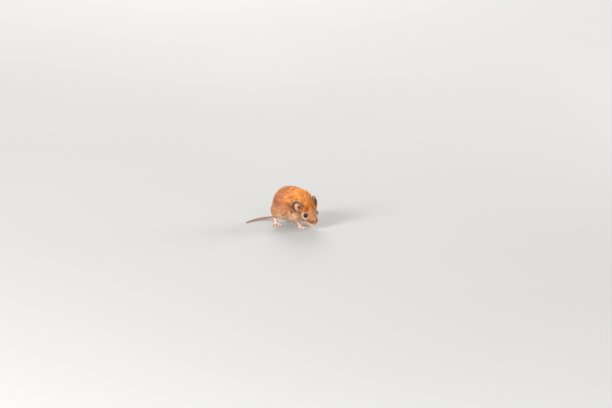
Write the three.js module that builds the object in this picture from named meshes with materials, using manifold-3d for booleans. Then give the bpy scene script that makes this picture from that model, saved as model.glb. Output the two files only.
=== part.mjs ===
// A bank vole at life size: a small chestnut field mouse, hunched on its four feet with its head down.
// Millimetres. +X is the way the body faces, +Y its left, +Z up; the floor is z = 0. The solids reach to the
// tips of the coat. The whole body is one soft shape, and thin cuts part it into the pieces that a person
// would name.
import * as THREE from "three";
import { mergeVertices } from "three/addons/utils/BufferGeometryUtils.js";
import Module from "manifold-3d";

const wasm = await Module();
wasm.setup();

// ---------- driving sizes ----------
const GAP = 0.3; // between two pieces that meet
const BODY_LENGTH = 39; // breast to rump, hunched
const BODY_WIDTH = 31;
const BACK_HEIGHT = 35.6; // floor to the top of the back
const HEAD_LENGTH = 27.8; // nose to the back of the head
const HEAD_WIDTH = 18.5; // across the cheeks
const EAR_HEIGHT = 12;
const EAR_WIDTH = 11.4;
const EAR_THICKNESS = 1.1;
const EYE_DIAMETER = 4;
const TAIL_RADIUS = 1.4; // at the root
const TAIL_TIP_RADIUS = 0.46;
const HIND_TOE_RADIUS = 0.62;
const FORE_TOE_RADIUS = 0.52;
const CLAW_LENGTH = 1.5;
const CLAW_RADIUS = 0.32;

const SIDES = { right: -1, left: 1 }; // the sign of y on each side

// ---------- colours ----------
const finish = (color, roughness = 0.9) => new THREE.MeshStandardMaterial({ color, roughness, metalness: 0 });
const COAT = finish(0xb06a35);
const BELLY = finish(0xb39a80);
const BARE_SKIN = finish(0xdcb3a4, 0.6);
const EAR_SKIN = finish(0xa87c62, 0.7);
const TAIL_SKIN = finish(0x9a7a68, 0.7);
const NOSE_SKIN = finish(0xa8736a, 0.45);
const EYE_BLACK = finish(0x0c0a0a, 0.08);
const HORN = finish(0xe8d9c8, 0.4);

// ---------- small tools ----------
const V = (x = 0, y = 0, z = 0) => new THREE.Vector3(x, y, z);
const radians = THREE.MathUtils.degToRad;
const mirrored = (v, side) => V(v.x, v.y * side, v.z);

// A closed three.js geometry as a manifold-3d solid. Triangles that the merge flattens are dropped.
function solid(geometry) {
  const bare = new THREE.BufferGeometry();
  bare.setAttribute("position", geometry.getAttribute("position").clone());
  if (geometry.index) bare.setIndex(geometry.index.clone());
  const merged = mergeVertices(bare, 1e-4);
  const corners = [];
  for (let i = 0; i < merged.index.count; i += 3) {
    const [a, b, c] = [0, 1, 2].map((k) => merged.index.getX(i + k));
    if (a !== b && b !== c && c !== a) corners.push(a, b, c);
  }
  const vertProperties = merged.attributes.position.array;
  return new wasm.Manifold(new wasm.Mesh({ numProp: 3, vertProperties, triVerts: new Uint32Array(corners) }));
}

// A named mesh made from a manifold-3d solid.
function piece(name, made, material) {
  const { vertProperties, triVerts, numProp } = made.getMesh();
  const places = new Float32Array((vertProperties.length / numProp) * 3);
  for (let i = 0; i < places.length / 3; i++)
    places.set(vertProperties.subarray(i * numProp, i * numProp + 3), i * 3);
  const geometry = new THREE.BufferGeometry();
  geometry.setAttribute("position", new THREE.BufferAttribute(places, 3));
  geometry.setIndex(new THREE.BufferAttribute(new Uint32Array(triVerts), 1));
  const mesh = new THREE.Mesh(geometry, material);
  mesh.name = name;
  return mesh;
}

const joined = (solids) => solids.reduce((all, one) => all.add(one));

// The biggest body of a solid, without the slivers that a cut can leave.
const largest = (made) => made.decompose().reduce((best, one) => (one.volume() > best.volume() ? one : best));

// ---------- soft shapes, as distance fields ----------
// An ellipsoid by its centre, half sizes and turn. The value is about the distance to its surface.
function blob(centre, half, turn = new THREE.Quaternion()) {
  const back = turn.clone().invert();
  return (p) => {
    const q = p.clone().sub(centre).applyQuaternion(back).divide(half);
    const near = q.length();
    const slope = q.divide(half).length();
    return slope < 1e-9 ? -Math.min(half.x, half.y, half.z) : (near * (near - 1)) / slope;
  };
}

const pitched = (degrees) => new THREE.Quaternion().setFromAxisAngle(V(0, 1, 0), radians(degrees));

// The union of fields, with creases filled over a width of about `soften`.
function blended(fields, soften) {
  return (p) =>
    fields.reduce((found, field) => {
      const value = field(p);
      const overlap = Math.max(soften - Math.abs(found - value), 0) / soften;
      return Math.min(found, value) - (overlap * overlap * soften) / 4;
    }, Infinity);
}

// The surface of a field as seen from `centre`: an even ball of triangles whose corners lie where the field
// is zero.
function wrap(field, centre, detail, reach = 60) {
  const ball = new THREE.IcosahedronGeometry(1, detail);
  const corners = ball.getAttribute("position");
  const ray = V();
  const step = 0.4;
  for (let i = 0; i < corners.count; i++) {
    ray.fromBufferAttribute(corners, i).normalize();
    let [inside, outside] = [0, step];
    while (outside < reach && field(ray.clone().multiplyScalar(outside).add(centre)) < 0) {
      inside = outside;
      outside += step;
    }
    for (let n = 0; n < 14; n++) {
      const middle = (inside + outside) / 2;
      if (field(ray.clone().multiplyScalar(middle).add(centre)) < 0) inside = middle;
      else outside = middle;
    }
    corners.setXYZ(i, ...ray.multiplyScalar(outside).add(centre));
  }
  return solid(ball);
}

// Parts a solid with a plane: what lies ahead of it along `normal`, and what lies behind, with GAP between.
function parted(whole, point, normal) {
  const size = 200;
  const halfSpace = (direction) => {
    const box = new THREE.BoxGeometry(size, size, size);
    const turn = new THREE.Quaternion().setFromUnitVectors(V(0, 0, 1), direction);
    box.applyQuaternion(turn);
    const middle = direction.clone().multiplyScalar((size + GAP) / 2).add(point);
    return solid(box.translate(...middle));
  };
  const ahead = normal.clone().normalize();
  return [ahead, ahead.clone().negate()].map((direction) => largest(whole.intersect(halfSpace(direction))));
}

const underFloor = solid(new THREE.BoxGeometry(300, 300, 40).translate(0, 0, -20));

// The turn that brings the Y axis to the way from one point to another.
function turnTo(from, to) {
  return new THREE.Quaternion().setFromUnitVectors(V(0, 1, 0), to.clone().sub(from).normalize());
}

// A limb length from one point to another: a turned bar with round ends, through `radii` at even steps.
// `arch` is how far its middle rises.
function bar(from, to, radii, around = 10, arch = 0) {
  const length = from.distanceTo(to);
  const [first, last] = [radii[0], radii[radii.length - 1]];
  const profile = [];
  const capSteps = 2;
  for (let i = 0; i <= capSteps; i++) {
    const angle = (i / capSteps - 1) * (Math.PI / 2);
    profile.push(new THREE.Vector2(first * Math.cos(angle), first * Math.sin(angle)));
  }
  for (let i = 1; i < radii.length - 1; i++)
    profile.push(new THREE.Vector2(radii[i], (length * i) / (radii.length - 1)));
  for (let i = 0; i <= capSteps; i++) {
    const angle = (i / capSteps) * (Math.PI / 2);
    profile.push(new THREE.Vector2(last * Math.cos(angle), length + last * Math.sin(angle)));
  }
  profile[0].x = 0;
  profile[profile.length - 1].x = 0;
  const turned = new THREE.LatheGeometry(profile, around);
  const rings = turned.getAttribute("position");
  const rises = Array.from({ length: rings.count }, (_, i) => {
    const along = THREE.MathUtils.clamp(rings.getY(i) / length, 0, 1);
    return arch * Math.sin(Math.PI * along);
  });
  turned.applyQuaternion(turnTo(from, to));
  rises.forEach((rise, i) => rings.setZ(i, rings.getZ(i) + rise));
  return solid(turned.translate(...from));
}

// An ellipsoid from three.js's sphere.
function ellipsoid(centre, half, turn = new THREE.Quaternion(), around = 16) {
  const ball = new THREE.SphereGeometry(1, around, Math.round(around * 0.7));
  return solid(ball.scale(...half).applyQuaternion(turn).translate(...centre));
}

// ---------- the trunk ----------
const BELLY_RISE = 3.8; // how far the middle of the belly is off the floor
const RUMP_X = -22.5; // where the body ends behind
const TRUNK = V(-6.8, 0, (BACK_HEIGHT + BELLY_RISE) / 2); // the middle of the trunk

const trunkBlobs = [
  blob(TRUNK, V(14.2, BODY_WIDTH / 2, (BACK_HEIGHT - BELLY_RISE) / 2)), // back and belly
  blob(V(RUMP_X + 13.6, 0, TRUNK.z - 1.2), V(12.9, BODY_WIDTH / 2 - 0.5, 14.4)), // rump
  blob(V(RUMP_X + BODY_LENGTH - 14, -0.3, TRUNK.z + 1.8), V(12, 11.4, 14), pitched(18)), // shoulders
  blob(V(-1, 0.2, 23.4), V(8.6, 9.4, 11.4)), // between the shoulders and the nape
];
for (const side of Object.values(SIDES)) {
  trunkBlobs.push(blob(V(-11.8, side * 9.4, 14.2), V(8.6, 6.2, 7.4), pitched(-16))); // haunch
  trunkBlobs.push(blob(V(3.4, side * 6.6, 9.4), V(6.2, 4.4, 5.9), pitched(12))); // upper arm
}

// ---------- the head, in its own frame: +X to the nose, +Y left, +Z the crown ----------
const HEAD = V(13.8, 0.3, 14.3); // its middle, on the body
const HEAD_TURN = new THREE.Quaternion().setFromEuler(
  new THREE.Euler(radians(6), radians(42), radians(-17), "ZYX"), // roll, nod and turn to the right
);
const headPlace = (v) => v.clone().applyQuaternion(HEAD_TURN).add(HEAD);
const headBlob = (centre, half, nod = 0) =>
  blob(headPlace(centre), half, HEAD_TURN.clone().multiply(pitched(nod)));

const NOSE_TIP = V(HEAD_LENGTH / 2, 0, -0.2);
const EYE = V(4.3, 5.7, 2.4); // the left eye's centre; the right one is its mirror image
const EAR = V(-7.9, 8.1, 1.4); // the middle of the left ear

const headBlobs = [
  headBlob(V(-4.6, 0, 0.9), V(8.9, HEAD_WIDTH / 2 - 1.1, 8.2)), // skull
  headBlob(V(HEAD_LENGTH / 2 - 6.4, 0, -0.4), V(6.4, 5, 4.8), 5), // muzzle
  headBlob(V(2.6, 0, 2.2), V(6.6, 5.6, 4.2), 14), // brow and bridge
  headBlob(V(4.2, 0, -4.3), V(6, 4.2, 3.4), -6), // chin
  headBlob(V(1, 0, -7.8), V(6, 5, 4.4), 6), // throat
];
for (const side of Object.values(SIDES)) {
  headBlobs.push(headBlob(V(-1.6, side * 4.6, -2.8), V(6.8, HEAD_WIDTH / 2 - 4.4, 6.4))); // cheek
  headBlobs.push(headBlob(V(3.2, side * 3.7, 0.5), V(5.2, 3.7, 4.1))); // round the eye
  headBlobs.push(headBlob(V(8.7, side * 2.5, -1.4), V(4.2, 2.9, 3.2))); // whisker pad
  headBlobs.push(headBlob(V(-5.6, side * 6.2, -1.4), V(4.2, 3.2, 4.4))); // at the foot of the ear
  headBlobs.push(headBlob(V(-1.2, side * 5.3, 3.8), V(4.8, 3.5, 3.5))); // between the eye and the ear
}
const neckBlob = blob(V(6.8, 0.6, 22.6), V(10.4, 8.8, 11.2), pitched(38));

// How an ear stands on the head: its height runs back and up, and its hollow looks forward, out and up.
function earStand(side) {
  const up = mirrored(V(-0.8, 0.14, 0.6), side).normalize();
  const look = mirrored(V(0.6, 0.68, 0.42), side);
  look.sub(up.clone().multiplyScalar(look.dot(up))).normalize();
  return new THREE.Matrix4().makeBasis(up.clone().cross(look), up, look).setPosition(mirrored(EAR, side));
}
const onHead = new THREE.Matrix4().compose(HEAD, HEAD_TURN, V(1, 1, 1));

const BLEND = 4.5;
const bodyField = blended([...trunkBlobs, neckBlob, blended(headBlobs, 2.4)], BLEND);
const grown = (p) => bodyField(p) - GAP;

// An ear: a thin lens, narrower at its foot and cupped towards its front, standing on the head. With `more`
// it is grown by that much all round; its thickness grows by three times that, because the rim is steep.
function ear(side, more) {
  const lens = new THREE.SphereGeometry(1, 12, 8).rotateX(Math.PI / 2);
  const corners = lens.getAttribute("position");
  const cup = 3.4; // how far the rim curls forward of the middle
  const narrowing = 0.26; // how much of its width the foot loses
  const spread = 1 + more / (EAR_WIDTH / 2);
  for (let i = 0; i < corners.count; i++) {
    const [across, up] = [corners.getX(i) * spread, corners.getY(i) * spread];
    const out = across * across + up * up;
    const narrowed = across * (1 - narrowing * THREE.MathUtils.smoothstep(-up, -0.1, 1));
    const forward = corners.getZ(i) * (EAR_THICKNESS / 2 + 3 * more) + cup * (0.25 * out + 0.75 * out * out);
    corners.setXYZ(i, narrowed * (EAR_WIDTH / 2), up * (EAR_HEIGHT / 2), forward);
  }
  return solid(lens.applyMatrix4(onHead.clone().multiply(earStand(side))));
}

// Where the coat lies flat in front of an ear, so that its hollow is open.
function earHollow(side) {
  const stand = onHead.clone().multiply(earStand(side));
  const half = V(EAR_WIDTH / 2 + 0.2, EAR_HEIGHT / 2 + 0.2, 3.4);
  const turn = new THREE.Quaternion().setFromRotationMatrix(stand);
  return ellipsoid(V(0, 0, half.z).applyMatrix4(stand), half, turn, 11);
}

// The ears stand in slots in the coat.
const earRoom = joined(Object.values(SIDES).flatMap((side) => [ear(side, GAP), earHollow(side)]));
const trunkWhole = wrap(bodyField, TRUNK, 6).subtract(earRoom);
const headWhole = wrap(bodyField, HEAD, 7, 26).subtract(earRoom);
const trunkGrown = wrap(grown, TRUNK, 6);
const headGrown = wrap(grown, HEAD, 7, 26);

// What lies outside the coat of the body, with GAP to it.
const outside = (made) => largest(made.subtract(trunkGrown).subtract(headGrown));

// The head meets the neck behind the ears and at the throat; the neck is a wedge, thick at the nape.
const NAPE_CUT = { point: V(9, 0, 16), normal: V(0.97, -0.14, 0.17) };
const SHOULDER_CUT = { point: V(4.7, 0, 18), normal: V(0.95, 0, 0.32) };

let head = parted(headWhole, NAPE_CUT.point, NAPE_CUT.normal)[0];
const [, behindHead] = parted(trunkWhole, NAPE_CUT.point, NAPE_CUT.normal);
const [neck, behindNeck] = parted(behindHead, SHOULDER_CUT.point, SHOULDER_CUT.normal);

// ---------- haunches and upper arms, cut out of the trunk ----------
const haunchCut = (side, more) =>
  ellipsoid(V(-12, side * 14.6, 12.6), V(9.6 + more, 7.4 + more, 9.8 + more), pitched(-16), 14);
const armCut = (side, more) =>
  ellipsoid(V(4.2, side * 10.8, 7), V(5 + more, 5.2 + more, 6.4 + more), pitched(10), 12);

let torso = behindNeck;
const limbTops = [];
for (const [sideName, side] of Object.entries(SIDES)) {
  const [thigh, shank] = parted(torso.intersect(haunchCut(side, 0)), V(-12, side * 12, 10.2), V(0.25, 0, 1));
  const [upperArm, forearm] = parted(torso.intersect(armCut(side, 0)), V(4.4, side * 9, 6.6), V(-0.25, 0, 1));
  limbTops.push(piece(`thigh_${sideName}`, thigh, COAT), piece(`shank_${sideName}`, shank, BELLY));
  limbTops.push(piece(`upper_arm_${sideName}`, upperArm, COAT), piece(`forearm_${sideName}`, forearm, BELLY));
  torso = torso.subtract(haunchCut(side, GAP)).subtract(armCut(side, GAP));
}
const [chest, behindChest] = parted(torso, V(-2.5, 0, 18), V(1, 0, 0.1));
const [belly, rump] = parted(behindChest, V(-15.5, 0, 18), V(1, 0, -0.1));

const vole = new THREE.Group();
vole.add(piece("neck", neck, COAT), piece("chest", chest, COAT), piece("belly", belly, COAT));
vole.add(piece("rump", rump, COAT), ...limbTops);

// ---------- eyes, nose and ears ----------
for (const [sideName, side] of Object.entries(SIDES)) {
  const centre = headPlace(mirrored(EYE, side));
  const half = (more) => V(1, 1, 1).multiplyScalar(EYE_DIAMETER / 2 + more);
  head = head.subtract(ellipsoid(centre, half(GAP), HEAD_TURN, 10));
  vole.add(piece(`eye_${sideName}`, ellipsoid(centre, half(0), HEAD_TURN, 10), EYE_BLACK));
}
function nosePad(more) {
  const middle = headPlace(NOSE_TIP.clone().add(V(-0.8, 0, 0)));
  return ellipsoid(middle, V(1.1, 1.5, 1.1).addScalar(more), HEAD_TURN, 10);
}
head = head.subtract(nosePad(GAP));
vole.add(piece("head", head, COAT), piece("nose", nosePad(0), NOSE_SKIN));
for (const [sideName, side] of Object.entries(SIDES)) {
  vole.add(piece(`ear_${sideName}`, ear(side, 0), EAR_SKIN));
}

// ---------- feet ----------
// A foot from its ankle to its toes. Toes fan out from the ball of the foot and end in a pad on the floor.
const HIND_TOES = [
  { angle: 56, length: 3.6 },
  { angle: 24, length: 5.2 },
  { angle: 3, length: 5.7 },
  { angle: -18, length: 5.4 },
  { angle: -54, length: 3.8 },
];
const FORE_TOES = [
  { angle: 40, length: 2.9 },
  { angle: 13, length: 3.6 },
  { angle: -13, length: 3.5 },
  { angle: -40, length: 2.8 },
];

function claw(from, to) {
  const cone = new THREE.ConeGeometry(CLAW_RADIUS, CLAW_LENGTH, 6).translate(0, CLAW_LENGTH / 2, 0);
  cone.applyQuaternion(turnTo(from, to));
  return solid(cone.translate(...from));
}

function foot({ name, side, ankle, ball, ballHalf, instep, toes, toeRadius }) {
  const place = (v) => mirrored(v, side);
  const ankleAt = place(ankle);
  const ballAt = place(ball);
  const heading = ballAt.clone().sub(ankleAt).setZ(0).normalize();
  const along = new THREE.Quaternion().setFromUnitVectors(V(1, 0, 0), heading);
  const flesh = [bar(ankleAt, ballAt, instep, 7), ellipsoid(ballAt, ballHalf, along, 8)];
  toes.forEach(({ angle, length }, number) => {
    const direction = heading.clone().applyAxisAngle(V(0, 0, 1), radians(angle * side));
    const onward = (from, far) => from.clone().addScaledVector(direction, far);
    const root = onward(ballAt, ballHalf.y * 0.55).setZ(toeRadius * 1.4);
    const pad = onward(root, length).setZ(toeRadius * 0.8);
    flesh.push(bar(root, pad, [toeRadius, toeRadius * 0.95, toeRadius], 6, toeRadius * 0.6));
    const clawRoot = onward(pad, toeRadius + GAP).setZ(toeRadius * 1.25);
    const clawEnd = onward(clawRoot, CLAW_LENGTH).setZ(CLAW_RADIUS);
    vole.add(piece(`claw_${name}_${number + 1}`, claw(clawRoot, clawEnd), HORN));
  });
  return joined(flesh).subtract(underFloor);
}

const HIND_LEG = {
  ankle: V(-18, 8.4, 7.6),
  ball: V(-14.9, 10.4, 1.15),
  ballHalf: V(2.2, 1.9, 1.5),
  instep: [1.15, 1.4, 1.15],
  toes: HIND_TOES,
  toeRadius: HIND_TOE_RADIUS,
};
const FORE_LEG = {
  ankle: V(7.2, 6.2, 4.4),
  ball: V(9.6, 6.6, 0.9),
  ballHalf: V(1.6, 1.5, 1.2),
  instep: [1, 0.95],
  toes: FORE_TOES,
  toeRadius: FORE_TOE_RADIUS,
};
for (const [sideName, side] of Object.entries(SIDES)) {
  const hindFoot = foot({ name: `hind_${sideName}`, side, ...HIND_LEG });
  const foreFoot = foot({ name: `fore_${sideName}`, side, ...FORE_LEG });
  vole.add(piece(`hind_foot_${sideName}`, outside(hindFoot), BARE_SKIN));
  vole.add(piece(`fore_foot_${sideName}`, outside(foreFoot), BARE_SKIN));
}

// ---------- tail ----------
const TAIL_LINE = new THREE.CatmullRomCurve3([
  V(-17, 0, 9.2),
  V(-21.8, 0.8, 5.2),
  V(-26.2, 1.5, 2.3),
  V(-31.2, -0.7, 1.35),
  V(-35.6, -6.4, 1.1),
  V(-38.6, -13.8, 0.85),
  V(-40.2, -22.6, 0.5),
]);

function tailLength(start, end) {
  const steps = 9;
  const around = 8;
  const corners = [];
  const faces = [];
  const ring = (i) => 1 + i * around;
  corners.push(...TAIL_LINE.getPointAt(start));
  for (let i = 0; i <= steps; i++) {
    const at = start + ((end - start) * i) / steps;
    const centre = TAIL_LINE.getPointAt(at);
    const along = TAIL_LINE.getTangentAt(at);
    const side = V(0, 0, 1).cross(along).normalize();
    const up = along.clone().cross(side);
    const radius = THREE.MathUtils.lerp(TAIL_RADIUS, TAIL_TIP_RADIUS, at ** 1.3);
    for (let k = 0; k < around; k++) {
      const angle = (2 * Math.PI * k) / around;
      const out = side.clone().multiplyScalar(Math.cos(angle)).addScaledVector(up, Math.sin(angle));
      corners.push(...out.multiplyScalar(radius).add(centre));
    }
  }
  corners.push(...TAIL_LINE.getPointAt(end));
  const endPoint = ring(steps + 1);
  for (let k = 0; k < around; k++) {
    const next = (k + 1) % around;
    faces.push(0, ring(0) + next, ring(0) + k);
    for (let i = 0; i < steps; i++) {
      const [a, b, c, d] = [ring(i) + k, ring(i) + next, ring(i + 1) + next, ring(i + 1) + k];
      faces.push(a, b, c, a, c, d);
    }
    faces.push(endPoint, ring(steps) + k, ring(steps) + next);
  }
  const tube = new THREE.BufferGeometry();
  tube.setAttribute("position", new THREE.Float32BufferAttribute(corners, 3));
  tube.setIndex(faces);
  return solid(tube).subtract(underFloor);
}

const tailCut = GAP / TAIL_LINE.getLength();
const TAIL_LENGTHS = { tail_root: [0, 0.42], tail_middle: [0.42, 0.72], tail_tip: [0.72, 1] };
for (const [name, [start, end]] of Object.entries(TAIL_LENGTHS)) {
  const made = tailLength(start, end - tailCut);
  vole.add(piece(name, largest(made.subtract(trunkGrown)), TAIL_SKIN));
}

// The origin is on the floor, under the middle of the box that holds the animal.
const box = new THREE.Box3().setFromObject(vole);
vole.position.set(-(box.min.x + box.max.x) / 2, -(box.min.y + box.max.y) / 2, -box.min.z);

export default vole;
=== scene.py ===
"""A bank vole at life size: one skin over the whole body, a coat of solid tufts, eyes, claws and whiskers.

The shapes are worked out in millimetres in the animal's own frame (+X the way the body faces, +Y its left,
+Z up, the floor at z = 0) and set into the row frame, in metres, when they become meshes. The body is a
distance field made of the same soft ellipsoids as the solids. The skin is that field's surface, drawn in by
the depth of the coat.
"""

import math

import bpy
import numpy as np
from mathutils import Euler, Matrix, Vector
from mathutils.kdtree import KDTree


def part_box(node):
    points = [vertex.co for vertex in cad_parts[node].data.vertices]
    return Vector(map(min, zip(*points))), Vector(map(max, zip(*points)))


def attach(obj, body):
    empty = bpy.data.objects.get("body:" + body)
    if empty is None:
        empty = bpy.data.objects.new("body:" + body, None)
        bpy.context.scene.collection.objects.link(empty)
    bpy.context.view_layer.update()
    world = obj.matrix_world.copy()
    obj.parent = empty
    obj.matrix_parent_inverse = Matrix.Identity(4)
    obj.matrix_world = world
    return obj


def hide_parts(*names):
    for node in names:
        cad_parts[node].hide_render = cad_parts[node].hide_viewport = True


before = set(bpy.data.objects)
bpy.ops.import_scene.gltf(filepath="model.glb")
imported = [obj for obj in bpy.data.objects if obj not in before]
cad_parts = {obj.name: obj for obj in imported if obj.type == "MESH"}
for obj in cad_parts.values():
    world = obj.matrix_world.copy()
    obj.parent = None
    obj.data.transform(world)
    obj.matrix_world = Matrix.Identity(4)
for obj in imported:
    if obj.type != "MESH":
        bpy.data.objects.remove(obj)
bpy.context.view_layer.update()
RNG = np.random.default_rng(11)

# ---------- driving sizes, in millimetres: those of the solids ----------
BODY_LENGTH = 39.0
BODY_WIDTH = 31.0
BACK_HEIGHT = 35.6
HEAD_LENGTH = 27.8
HEAD_WIDTH = 18.5
EAR_HEIGHT = 12.0
EAR_WIDTH = 11.4
EYE_RADIUS = 2.0
TAIL_RADIUS = 1.4
TAIL_TIP_RADIUS = 0.46
HIND_TOE_RADIUS = 0.62
FORE_TOE_RADIUS = 0.52
CLAW_LENGTH = 1.5
CLAW_RADIUS = 0.32
SIDES = {"right": -1, "left": 1}
BOTH = tuple(SIDES.values())

# ---------- sizes of the finish, in millimetres ----------
SKIN_PITCH = 0.25  # between the points of the grid that the skin is drawn on
DEEP_COAT = 2.3  # depth of the coat on the back
SHORT_COAT = 0.35  # and on the muzzle
EAR_SHEET = 0.5  # thickness of the skin of the ear


def vec(x, y, z):
    return np.array([x, y, z], float)


def mirrored(v, side):
    return np.array(v, float) * (1, side, 1)


def unit(v):
    v = np.asarray(v, float)
    return v / np.maximum(np.linalg.norm(v, axis=-1, keepdims=True), 1e-9)


def norm(v):
    return np.linalg.norm(v, axis=-1)


def nearness(p, place, reach):
    """1 at a place, falling smoothly to almost nothing over twice the reach."""
    return np.exp(-(((p - place) / reach) ** 2).sum(-1))


def smoothstep(low, high, value):
    t = np.clip((value - low) / (high - low), 0, 1)
    return t * t * (3 - 2 * t)


def turn(roll=0.0, nod=0.0, yaw=0.0):
    """The three axes, as columns, of something rolled, then nodded, then yawed, in degrees."""
    return np.array(Euler([math.radians(a) for a in (roll, nod, yaw)], "XYZ").to_matrix())


# ---------- where the head is, and what is on it ----------
HEAD_AXES = turn(6, 42, -17)
HEAD = vec(13.8, 0.3, 14.3)
EYE = vec(4.3, 5.7, 2.4)
EAR = vec(-7.9, 8.1, 1.4)
NOSE_TIP = vec(HEAD_LENGTH / 2, 0, -0.2)


def head_place(v):
    return np.asarray(v, float) @ HEAD_AXES.T + HEAD


def in_head(p):
    return (p - HEAD) @ HEAD_AXES


def box_middle(node):
    low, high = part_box(node)
    return np.array((low + high) / 2) * 1000


# The row frame's origin is under the middle of the animal's box, and an eye tells where that is.
SHIFT = box_middle("eye_right") - head_place(mirrored(EYE, -1))


def to_row(points):
    return (np.asarray(points) + SHIFT) / 1000


# ---------- distance fields, for many points at once ----------
def blob(centre, half, axes=np.eye(3)):
    """An ellipsoid. The value is about the distance to its surface, below zero inside."""
    half = np.asarray(half, float)

    def field(p):
        q = ((p - centre) @ axes) / half
        near = np.sqrt((q * q).sum(1))
        slope = np.sqrt(((q / half) ** 2).sum(1))
        return np.where(slope < 1e-6, -half.min(), near * (near - 1) / np.maximum(slope, 1e-6))

    return field


def meet(a, b, soften):
    """The union of two distances, with the crease between them filled."""
    overlap = np.maximum(soften - np.abs(a - b), 0) / soften
    return np.minimum(a, b) - overlap * overlap * soften / 4


def carve(a, b, soften):
    """What is left of a when b is taken away, with a soft edge."""
    return -meet(-a, b, soften)


def blended(fields, soften):
    """The union of several fields. Their order matters a little to the creases."""

    def field(p):
        found = fields[0](p)
        for other in fields[1:]:
            found = meet(found, other(p), soften)
        return found

    return field


ROOM = 3.0  # how far off a small field is still worked out


def within(field, points, reach):
    """The same field, worked out only round the given points. Further away than that it is just large."""
    low, high = np.min(points, axis=0) - reach - ROOM, np.max(points, axis=0) + reach + ROOM

    def limited(p):
        value = np.full(len(p), ROOM)
        near = ((p > low) & (p < high)).all(1)
        if near.any():
            value[near] = field(p[near])
        return value

    return limited


def limb(points, radii):
    """A round limb along a line of points, with a radius at each."""
    points, radii = np.asarray(points, float), np.asarray(radii, float)

    def field(p):
        best = np.full(len(p), 1e3)
        for a, b, ra, rb in zip(points[:-1], points[1:], radii[:-1], radii[1:]):
            along = b - a
            t = np.clip(((p - a) @ along) / (along @ along), 0, 1)
            best = np.minimum(best, norm(p - a - t[:, None] * along) - ra - (rb - ra) * t)
        return best

    return within(field, points, radii.max())


# ---------- the body: the solids' own soft shape, out to the tips of the coat ----------
BELLY_RISE = 3.8
RUMP_X = -22.5
TRUNK = vec(-6.8, 0, (BACK_HEIGHT + BELLY_RISE) / 2)


def head_blob(centre, half, nod=0.0):
    """An ellipsoid at a place on the head, nodded further down by some degrees."""
    return blob(head_place(centre), half, HEAD_AXES @ turn(nod=nod))


trunk_blobs = [
    blob(TRUNK, (14.2, BODY_WIDTH / 2, (BACK_HEIGHT - BELLY_RISE) / 2)),
    blob(vec(RUMP_X + 13.6, 0, TRUNK[2] - 1.2), (12.9, BODY_WIDTH / 2 - 0.5, 14.4)),
    blob(vec(RUMP_X + BODY_LENGTH - 14, -0.3, TRUNK[2] + 1.8), (12, 11.4, 14), turn(nod=18)),
    blob(vec(-1, 0.2, 23.4), (8.6, 9.4, 11.4)),
]
for s in BOTH:
    trunk_blobs += [
        blob(vec(-11.8, s * 9.4, 14.2), (8.6, 6.2, 7.4), turn(nod=-16)),
        blob(vec(3.4, s * 6.6, 9.4), (6.2, 4.4, 5.9), turn(nod=12)),
    ]
neck_blob = blob(vec(6.8, 0.6, 22.6), (10.4, 8.8, 11.2), turn(nod=38))
head_blobs = [
    head_blob((-4.6, 0, 0.9), (8.9, HEAD_WIDTH / 2 - 1.1, 8.2)),
    head_blob((HEAD_LENGTH / 2 - 6.4, 0, -0.4), (6.4, 5.0, 4.8), 5),
    head_blob((2.6, 0, 2.2), (6.6, 5.6, 4.2), 14),
    head_blob((4.2, 0, -4.3), (6, 4.2, 3.4), -6),
    head_blob((1.0, 0, -7.8), (6, 5.0, 4.4), 6),
]
for s in BOTH:
    head_blobs += [
        head_blob((-1.6, s * 4.6, -2.8), (6.8, HEAD_WIDTH / 2 - 4.4, 6.4)),
        head_blob((3.2, s * 3.7, 0.5), (5.2, 3.7, 4.1)),
        head_blob((8.7, s * 2.5, -1.4), (4.2, 2.9, 3.2)),
        head_blob((-5.6, s * 6.2, -1.4), (4.2, 3.2, 4.4)),
        head_blob((-1.2, s * 5.3, 3.8), (4.8, 3.5, 3.5)),
    ]


def ear_axes(side):
    """The ear's own axes, as columns: across it, up its height, and the way its hollow looks."""
    up = unit(mirrored((-0.8, 0.14, 0.6), side))
    look = mirrored((0.6, 0.68, 0.42), side)
    look = unit(look - up * (look @ up))
    return HEAD_AXES @ np.column_stack([np.cross(up, look), up, look])


EAR_AXES = {s: ear_axes(s) for s in BOTH}
EAR_MIDDLE = {s: head_place(mirrored(EAR, s)) for s in BOTH}
EYE_MIDDLE = {s: head_place(mirrored(EYE, s)) for s in BOTH}
EAR_HALF_WIDTH, EAR_HALF_HEIGHT = EAR_WIDTH / 2 - 0.25, EAR_HEIGHT / 2 - 0.25
EAR_HOLLOW = (EAR_WIDTH / 2 - 0.6, EAR_HEIGHT / 2 - 0.8, 2.8)
ear_hollows = [blob(EAR_MIDDLE[s] + EAR_AXES[s] @ vec(0, -0.3, 2.9), EAR_HOLLOW, EAR_AXES[s]) for s in BOTH]
whole_body = blended([*trunk_blobs, neck_blob, blended(head_blobs, 2.4)], 4.5)


def coat_surface(p):
    """The outside of the coat."""
    found = whole_body(p)
    for hollow in ear_hollows:
        found = carve(found, hollow(p), 1.2)
    return found


def slope_of(field, p, step=0.08):
    """Which way the field grows at each point, as unit vectors."""
    found = [field(p + step * axis) - field(p - step * axis) for axis in np.eye(3)]
    return unit(np.stack(found, axis=1))


EYE_LOOK = {s: slope_of(coat_surface, EYE_MIDDLE[s][None])[0] for s in BOTH}


def coat_depth(p):
    """How deep the coat is: least on the muzzle, round the eyes and low on the legs, and most on the back."""
    depth = SHORT_COAT + (DEEP_COAT - SHORT_COAT) * smoothstep(1, 25, norm(p - head_place(NOSE_TIP)))
    depth *= 1 - 0.4 * smoothstep(11, 3, p[:, 2])
    for s in BOTH:
        depth *= 1 - 0.6 * nearness(p, EYE_MIDDLE[s], 2.6)
    return depth


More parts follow.
